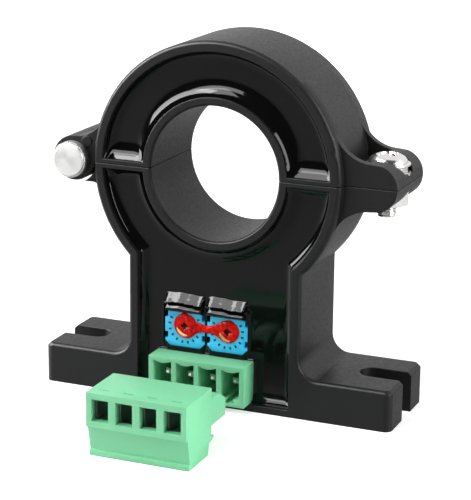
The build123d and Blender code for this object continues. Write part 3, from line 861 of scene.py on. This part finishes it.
def blended(parts, power=2.5):
    """Soft maximum of several climbs."""
    return sum(np.maximum(p, 0) ** power for p in parts) ** (1 / power)


def ease(value, low, high):
    """0 below low, 1 above high, smooth between."""
    t = np.clip((value - low) / (high - low), 0, 1)
    return t * t * (3 - 2 * t)


def collar_side(x, z):
    return arc_climb(np.hypot(x, z - BORE_Z) - COLLAR, COLLAR_ARC, sizes().collar_climb / MM)


def cap_inside(x, z):
    rho = np.hypot(x, z - BORE_Z)
    return np.minimum(np.minimum(rho - COLLAR, POCKET - rho), z - (BORE_Z + RIB))


def cap_height(x, z):
    rho = np.hypot(x, z - BORE_Z)
    wall = sizes().wall_climb / MM
    rise = blended(
        [
            collar_side(x, z),
            arc_climb(POCKET - rho, WALL_ARC, wall),
            arc_climb(z - (BORE_Z + RIB), CAP_RIB_ARC, wall),
        ]
    )
    return LEVEL_Y - np.minimum(rise, LEVEL_Y - EDGE_Y)


def base_outline(x, z):
    rho = np.hypot(x, z - BORE_Z)
    side = np.maximum(COLUMN - np.abs(x), POCKET - rho)
    return np.minimum(side, z - FLOOR_Z), rho


def base_inside(x, z):
    outer, rho = base_outline(x, z)
    outline = np.minimum(np.minimum(outer, rho - COLLAR), BORE_Z - RIB - z)
    header = np.maximum(np.abs(x - HEADER_X) - HEADER_SKIN_HALF, z - HEADER_SKIN_TOP)
    outline = np.minimum(outline, header)
    low = TRIMMER_Z - TRIMMER_HALF
    middle = (low + TRIMMER_TOP) / 2
    for cx in TRIMMER_XS:
        face = box_distance(
            x, z, cx, middle, TRIMMER_HALF + 0.02, (TRIMMER_TOP - low) / 2
        )
        corner = (np.abs(x - cx) + TRIMMER_Z - z - 2 * TRIMMER_HALF + CORNER_CUT) / math.sqrt(2)
        outline = np.minimum(outline, np.maximum(face, corner))
    return outline


def ridge(x, z, cx):
    """Swell of the resin over a trimmer's upper edge, with a groove along it."""
    drift = 0.1 * np.sin(0.9 * x + cx) + 0.03 * np.sin(3.1 * x + 2 * cx)
    level = z - drift * ease(z, *RIDGE_DRIFT)
    profile = np.interp(level, RIDGE_Z, RIDGE_RISE)
    window = 1 - ease(np.abs(x - cx), *RIDGE_END)
    return sizes().ridge_height / MM * profile * window


def base_height(x, z):
    outer, _ = base_outline(x, z)
    wall = sizes().wall_climb / MM
    header = box_distance(
        x, z, HEADER_X, (HEADER_TOP + FLOOR_Z) / 2, HEADER_HALF, (HEADER_TOP - FLOOR_Z) / 2
    )
    climbs = [
        collar_side(x, z),
        arc_climb(outer, WALL_ARC, wall),
        arc_climb(BORE_Z - RIB - z, BASE_RIB_ARC, wall),
        arc_climb(header, *HEADER_ARC),
    ]
    for cx in TRIMMER_XS:
        gap = box_distance(x, z, cx, TRIMMER_Z, TRIMMER_HALF, TRIMMER_HALF)
        climbs.append(arc_climb(gap, *TRIMMER_ARC))
        climbs.append(ridge(x, z, cx))
    return LEVEL_Y - np.minimum(blended(climbs), LEVEL_Y - EDGE_Y)


def star_field(x, z, cx, cz):
    """Below 1 inside the star-shaped dent over a rotor slot."""
    dx, dz = np.abs(x - cx + 0.05), np.abs(z - cz)
    (wide, low), (narrow, high) = STAR_ARMS
    star = np.minimum(np.hypot(dx / wide, dz / low), np.hypot(dx / narrow, dz / high))
    return np.minimum(star, np.hypot(dx, dz) / STAR_CORE)


def lacquer_inside(x, z):
    """Distance to the outline of the lacquer: two uneven drops and a waist between them.

    A crescent at the lower left of each rotor stays bare."""
    angle = np.arctan2(z - TRIMMER_Z, x - WAIST_X)
    uneven = 0.06 * np.sin(5 * angle + 1.0) + 0.05 * np.sin(3.1 * x) * np.cos(2.3 * z)
    along = np.abs(x - WAIST_X)
    waist = WAIST_HALF + 0.5 * (along / 2) ** 2 - np.abs(z - TRIMMER_Z - 0.05)
    waist = np.minimum(waist, WAIST_REACH - along)
    drops = [r - np.hypot(x - cx, z - cz) for cx, cz, r in LACQUER_SPOTS]
    field = np.maximum(np.maximum(drops[0], drops[1]), waist) + uneven
    for cx, cz, r in LACQUER_SPOTS:
        away = np.hypot(x - cx, z - cz)
        turn = np.arctan2(z - cz, x - cx)
        offset = np.abs((turn - math.radians(BARE_TURN) + math.pi) % (2 * math.pi) - math.pi)
        half = BARE_HALF * np.clip(1 - (offset / math.radians(BARE_SWEEP)) ** 2, -1, 1)
        field = np.minimum(field, np.abs(away - (r - BARE_INSET)) - half)
    return field


def lacquer_height(x, z):
    """Domed drops with lumps and a star-shaped dent over each rotor slot."""
    rise = LACQUER_RISE * np.sqrt(1 - (1 - np.clip(lacquer_inside(x, z) / 0.6, 0, 1)) ** 2)
    lumps = np.sin(3.9 * x + 1.3) * np.sin(4.4 * z + 0.4) + 0.6 * np.sin(7.7 * x + 2.0 * z)
    rise = rise * (1 + 0.16 * lumps)
    for cx, cz, _ in LACQUER_SPOTS:
        rise = rise - DENT_DEPTH * np.exp(-(star_field(x, z, cx, cz) ** 4))
    return np.maximum(TRIMMER_FRONT - np.maximum(rise, 0.02), LACQUER_FRONT)


def paint_dent_shade(mesh):
    """Give the faces in the star-shaped dents the second material, a very dark lacquer that is
    painted shade.
    """
    for face in mesh.polygons:
        x, z = face.center.x / MM, face.center.z / MM
        for cx, cz, _ in LACQUER_SPOTS:
            ragged = 0.12 * math.sin(9 * math.atan2(z - cz, x - cx) + cx)
            if face.center.y < TRIMMER_FRONT * MM and star_field(x, z, cx, cz) < 0.85 + ragged:
                face.material_index = 1


# threads and screw heads


def turned_faces(rows, around):
    """Faces of a closed turned form whose points run round it, row by row."""
    faces = []
    for r in range(rows - 1):
        here, above = r * around, (r + 1) * around
        for a in range(around):
            b = (a + 1) % around
            faces.append([here + a, here + b, above + b, above + a])
    faces.append(list(range(around)))
    faces.append([(rows - 1) * around + a for a in reversed(range(around))])
    return faces


def turned_head(name, x, y, profile):
    """Turned screw head from a profile of radius and height, with a cross recess in its top."""
    around = 72
    rings = []
    for (r0, z0), (r1, z1) in zip(profile, profile[1:]):
        steps = max(1, int(math.hypot(r1 - r0, z1 - z0) / 0.14))
        rings += [(r0 + (r1 - r0) * i / steps, z0 + (z1 - z0) * i / steps) for i in range(steps)]
    rings.append(profile[-1])
    points = []
    for radius, z in rings:
        for a in range(around):
            turn = 2 * math.pi * a / around
            dx, dy = radius * math.cos(turn), radius * math.sin(turn)
            u, w = abs(dx + dy) / math.sqrt(2), abs(dx - dy) / math.sqrt(2)
            arm = max(
                min(RECESS_REACH - u, RECESS_HALF_WIDTH - w),
                min(RECESS_REACH - w, RECESS_HALF_WIDTH - u),
            )
            dent = RECESS_DEPTH * min(1.0, max(0.0, arm / 0.2))
            points.append((x + dx, y + dy, z - dent))
    mesh = mesh_from(name, points, turned_faces(len(rings), around))
    outward(mesh)
    return mesh


def thread_mesh(name, x, y, z0, z1, core, outer):
    """Closed threaded bar along Z; sizes in millimetres."""
    pitch = sizes().thread_pitch / MM
    around, rows = 40, max(4, int((z1 - z0) / pitch * 10))
    points = []
    for r in range(rows + 1):
        z = z0 + (z1 - z0) * r / rows
        ends = min(1.0, (z - z0) / (0.8 * pitch), (z1 - z) / (0.3 * pitch))
        for a in range(around):
            phase = (z / pitch - a / around) % 1.0
            crest = 1 - abs(2 * phase - 1)
            radius = core + (outer - core) * min(1.0, 1.25 * crest) * max(0.0, ends)
            turn = 2 * math.pi * a / around
            points.append((x + radius * math.cos(turn), y + radius * math.sin(turn), z))
    mesh = mesh_from(name, points, turned_faces(rows + 1, around))
    outward(mesh)
    return mesh


# operators


class SENSOR_OT_housings(bpy.types.Operator):
    """Dress the two housing halves in satin black plastic"""

    bl_idname = "sensor.housings"
    bl_label = "Housing Halves"

    def execute(self, context):
        for node, block in (("cap_housing", None), ("base_housing", COLUMN_BLOCK)):
            piece = moulded_copy(
                node, f"{node}_shell", finish("housing"), angle=52, weighted=True, block=block
            )
        return {"FINISHED"}


class SENSOR_OT_fillings(bpy.types.Operator):
    """Cast the glossy resin into the two front pockets"""

    bl_idname = "sensor.fillings"
    bl_label = "Resin Fillings"

    def execute(self, context):
        cap = build_skin(
            "cap_resin", cap_inside, cap_height,
            grid_lines(-19, 19, 0.2), grid_lines(BORE_Z, 56.2, 0.2), 0.0,
        )
        base = build_skin(
            "base_resin", base_inside, base_height,
            grid_lines(-19, 19, 0.26, -9.3, 5.7, 0.1),
            grid_lines(0.8, BORE_Z, 0.26, 7.9, 17.3, 0.1), RESIN_BACK,
        )
        for mesh, body, node in ((cap, "cap", "cap_filling"), (base, "base", "base_filling")):
            obj = new_object(mesh.name, mesh)
            soften(mesh, 62)
            set_material(obj, finish("resin"))
            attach(obj, body)
            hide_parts(node)
        return {"FINISHED"}


class SENSOR_OT_terminals(bpy.types.Operator):
    """Dress the header, its pins and the loose plug with its metal parts"""

    bl_idname = "sensor.terminals"
    bl_label = "Header and Plug"

    def execute(self, context):
        shell = moulded_copy("header_housing", "header_shell", finish("header"), bevel=0.09 * MM)
        shell = moulded_copy("plug_housing", "plug_shell", finish("plug"), bevel=0.09 * MM)
        for i in POLES:
            piece = moulded_copy(f"header_pin_{i}", f"pin_{i}", finish("pin"), angle=40)
        for node in METAL_INSIDE:
            set_material(frame["nodes"][node], finish("pin" if "contact" in node else "clamp"))
        return {"FINISHED"}


class SENSOR_OT_trimmers(bpy.types.Operator):
    """Dress the trimmers, their scale ticks, rotors and sealing lacquer"""

    bl_idname = "sensor.trimmers"
    bl_label = "Trimmers"

    def execute(self, context):
        for side in SIDES:
            piece = moulded_copy(
                f"trimmer_{side}", f"trimmer_body_{side}", finish("trimmer"), bevel=0.06 * MM
            )
            set_material(frame["nodes"][f"trimmer_rotor_{side}"], finish("rotor"))
        look = sizes()
        rings = [
            bars_mesh(
                "tick_ring", "ink", count=look.tick_count, first=TICK_START,
                step=TICK_SWEEP / (look.tick_count - 1), radius=TICK_RADIUS,
                size=(look.tick_length / MM, 0.06, 0.3), centre=(cx, TRIMMER_FRONT, TRIMMER_Z),
            )
            for cx in TRIMMER_XS
        ]
        ticks = new_object("scale_ticks", joined("scale_ticks", rings))
        set_material(ticks, finish("ink"))
        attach(ticks, "base")
        skin = build_skin(
            "lacquer_drop", lacquer_inside, lacquer_height,
            grid_lines(-7.8, 4.2, 0.07), grid_lines(9.4, 14.1, 0.07), LACQUER_BACK,
        )
        lacquer = new_object("lacquer_drop", skin)
        soften(skin, 70)
        set_material(lacquer, finish("lacquer"))
        # the second material is painted shade in the star-shaped dents over the rotor slots
        skin.materials.append(finish("dent_shade"))
        paint_dent_shade(skin)
        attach(lacquer, "base")
        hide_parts("sealing_lacquer")
        return {"FINISHED"}


class SENSOR_OT_hardware(bpy.types.Operator):
    """Dress the clamp screw, washer, nut and the hinge screw"""

    bl_idname = "sensor.hardware"
    bl_label = "Screws"

    def execute(self, context):
        for node in ("clamp_washer", "clamp_nut"):
            piece = moulded_copy(
                node, f"{node}_plated", finish("steel"), angle=46, weighted=True
            )
        head = turned_head("clamp_head", SCREW_X, 0, HEAD_PROFILE)
        thread = thread_mesh(
            "clamp_thread", SCREW_X, 0, SCREW_TIP, SCREW_NECK, THREAD_CORE, THREAD_OUTER
        )
        screw = new_object("clamp_screw_plated", joined("clamp_screw_plated", [head, thread]))
        soften(screw.data, 45)
        set_material(screw, finish("steel"))
        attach(screw, frame["nodes"]["clamp_screw"]["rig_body"])
        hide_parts("clamp_screw")
        piece = moulded_copy(
            "hinge_screw", "hinge_screw_turned", finish("knob"), angle=46, weighted=True
        )
        for v in piece.data.vertices:
            if v.co.y < KNOB_BACK * MM:
                v.co.x = (HINGE_X + (v.co.x / MM - HINGE_X) * KNOB_SHARE) * MM
                v.co.z = (BORE_Z + (v.co.z / MM - BORE_Z) * KNOB_SHARE) * MM
        look = sizes()
        bars = bars_mesh(
            "knurl_ring", "knob",
            count=look.knurl_count, first=0, step=360 / look.knurl_count,
            radius=KNOB_RADIUS * KNOB_SHARE,
            size=(2 * look.knurl_depth / MM, KNOB_WIDTH, KNURL_RIDGE),
            centre=(HINGE_X, KNOB_MIDDLE, BORE_Z),
        )
        knurl = new_object("knurl_ring", bars)
        set_material(knurl, finish("knob"))
        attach(knurl, frame["nodes"]["hinge_screw"]["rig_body"])
        return {"FINISHED"}


class SENSOR_OT_inner_parts(bpy.types.Operator):
    """Finish the core, the Hall element and the circuit board inside"""

    bl_idname = "sensor.inner_parts"
    bl_label = "Inner Parts"

    def execute(self, context):
        nodes = frame["nodes"]
        for node in ("cap_core", "base_core_left", "base_core_right"):
            set_material(nodes[node], finish("core"))
        for node in ("hall_package", "amplifier_chip"):
            set_material(nodes[node], finish("chip"))
        for i in (1, 2, 3):
            set_material(nodes[f"hall_lead_{i}"], finish("pin"))
        set_material(nodes["circuit_board"], finish("board"))
        return {"FINISHED"}


def add_lamp(name, place, size, power, unseen):
    """Soft rectangular lamp that looks at the sensor; one kind of ray may pass it by."""
    data = bpy.data.lights.new(name, "AREA")
    data.shape = "RECTANGLE"
    data.size, data.size_y = size
    data.energy = power
    obj = new_object(name, data)
    obj.location = place
    obj.rotation_mode = "QUATERNION"
    obj.rotation_quaternion = (Vector(LAMP_AIM) - Vector(place)).to_track_quat("-Z", "Y")
    if unseen == "diffuse":
        obj.visible_diffuse = False
    elif unseen == "glossy":
        obj.visible_glossy = False


def add_floor():
    """Pale floor that turns white away from the sensor and looks darker in reflections."""
    half = FLOOR_HALF / MM
    corners = [(-half, -half, 0), (half, -half, 0), (half, half, 0), (-half, half, 0)]
    floor = new_object("floor", mesh_from("floor", corners, [(0, 1, 2, 3)]))
    floor.location = (0, 0, -0.00002)
    made, tree, shader = material("pale_floor")
    shader.inputs["Roughness"].default_value = 0.6
    rays = tree.nodes.new("ShaderNodeLightPath")
    glossy, camera = rays.outputs["Is Glossy Ray"], rays.outputs["Is Camera Ray"]
    pale = math_node(tree, "MULTIPLY_ADD", glossy, -0.44, 0.74)
    tree.links.new(pale, shader.inputs["Base Color"])
    seen = math_node(tree, "MAXIMUM", glossy, rays.outputs["Is Transmission Ray"])
    seen = math_node(tree, "MULTIPLY_ADD", camera, 2.6, seen)
    shader.inputs["Emission Color"].default_value = (1, 1, 1, 1)
    away = tree.nodes.new("ShaderNodeVectorMath")
    away.operation = "LENGTH"
    tree.links.new(tree.nodes.new("ShaderNodeTexCoord").outputs["Object"], away.inputs[0])
    far = mapped(tree, away.outputs["Value"], 0.14, 0.5, 0.0, 1.0, smooth=True)
    far_glow = math_node(tree, "MULTIPLY", far, camera)
    strength = math_node(tree, "MULTIPLY_ADD", seen, 0.2, far_glow)
    tree.links.new(strength, shader.inputs["Emission Strength"])
    set_material(floor, made)


def room_world():
    """White world for the camera, bright behind and dark in front for reflections."""
    world = bpy.data.worlds.new("studio")
    world.use_nodes = True
    tree = world.node_tree
    back = tree.nodes["Background"]
    back.inputs["Color"].default_value = (1, 1, 1, 1)
    rays = tree.nodes.new("ShaderNodeLightPath")
    glossy = rays.outputs["Is Glossy Ray"]
    seen = math_node(
        tree, "MAXIMUM", rays.outputs["Is Camera Ray"], rays.outputs["Is Transmission Ray"]
    )
    way = tree.nodes.new("ShaderNodeSeparateXYZ")
    tree.links.new(tree.nodes.new("ShaderNodeTexCoord").outputs["Generated"], way.inputs[0])
    room = mapped(tree, way.outputs["Y"], -0.1, 0.15, 0.06, 1.0, smooth=True)
    shine = math_node(tree, "MULTIPLY", glossy, room)
    fill = math_node(tree, "SUBTRACT", 1.0, glossy)
    strength = math_node(tree, "MULTIPLY_ADD", fill, 0.2, shine)
    strength = math_node(tree, "MAXIMUM", strength, seen)
    tree.links.new(strength, back.inputs["Strength"])
    return world


def add_camera():
    """Camera with the place, turn and lens that match the photograph."""
    data = bpy.data.cameras.new("camera")
    data.lens = CAMERA_LENS
    data.sensor_width = 36.0
    data.shift_x, data.shift_y = CAMERA_SHIFT
    data.clip_start = 0.01
    data.clip_end = 20.0
    camera = new_object("camera", data)
    turn, tilt = math.radians(CAMERA_TURN), math.radians(CAMERA_TILT)
    back = Vector(
        (math.sin(turn) * math.cos(tilt), -math.cos(turn) * math.cos(tilt), math.sin(tilt))
    )
    aim = (-back).to_track_quat("-Z", "Y").to_matrix().to_4x4()
    aim = aim @ Matrix.Rotation(math.radians(CAMERA_ROLL), 4, "Z")
    camera.matrix_world = Matrix.Translation(Vector(CAMERA_AIM) + back * CAMERA_AWAY) @ aim
    return camera


class SENSOR_OT_stage(bpy.types.Operator):
    """Set up the pale floor, the soft lamps, the world and the camera"""

    bl_idname = "sensor.stage"
    bl_label = "Stage"

    def execute(self, context):
        scene = context.scene
        scene.view_settings.view_transform = "Standard"
        add_floor()
        scene.world = room_world()
        for lamp in LAMPS:
            add_lamp(*lamp)
        scene.camera = add_camera()
        return {"FINISHED"}


class SENSOR_PT_panel(bpy.types.Panel):
    """Sensor dressing tools"""

    bl_idname = "SENSOR_PT_panel"
    bl_label = "Current Sensor"
    bl_space_type = "VIEW_3D"
    bl_region_type = "UI"
    bl_category = "Sensor"

    def draw(self, context):
        layout = self.layout
        column = layout.column(align=True)
        for operator in OPERATORS:
            column.operator(operator.bl_idname)
        for group_name in ("sensor_finishes", "sensor_sizes"):
            settings = getattr(context.scene, group_name)
            box = layout.box()
            for field in settings.__annotations__:
                box.prop(settings, field)


OPERATORS = (
    SENSOR_OT_housings,
    SENSOR_OT_fillings,
    SENSOR_OT_terminals,
    SENSOR_OT_trimmers,
    SENSOR_OT_hardware,
    SENSOR_OT_inner_parts,
    SENSOR_OT_stage,
)
CLASSES = (SensorFinishes, SensorSizes, *OPERATORS, SENSOR_PT_panel)


def register():
    for cls in CLASSES:
        bpy.utils.register_class(cls)
    bpy.types.Scene.sensor_finishes = bpy.props.PointerProperty(type=SensorFinishes)
    bpy.types.Scene.sensor_sizes = bpy.props.PointerProperty(type=SensorSizes)


def unregister():
    del bpy.types.Scene.sensor_sizes
    del bpy.types.Scene.sensor_finishes
    for cls in reversed(CLASSES):
        bpy.utils.unregister_class(cls)


def main():
    register()
    bpy.ops.sensor.housings()
    bpy.ops.sensor.fillings()
    bpy.ops.sensor.terminals()
    bpy.ops.sensor.trimmers()
    bpy.ops.sensor.hardware()
    bpy.ops.sensor.inner_parts()
    bpy.ops.sensor.stage()


if __name__ == "__main__":
    main()
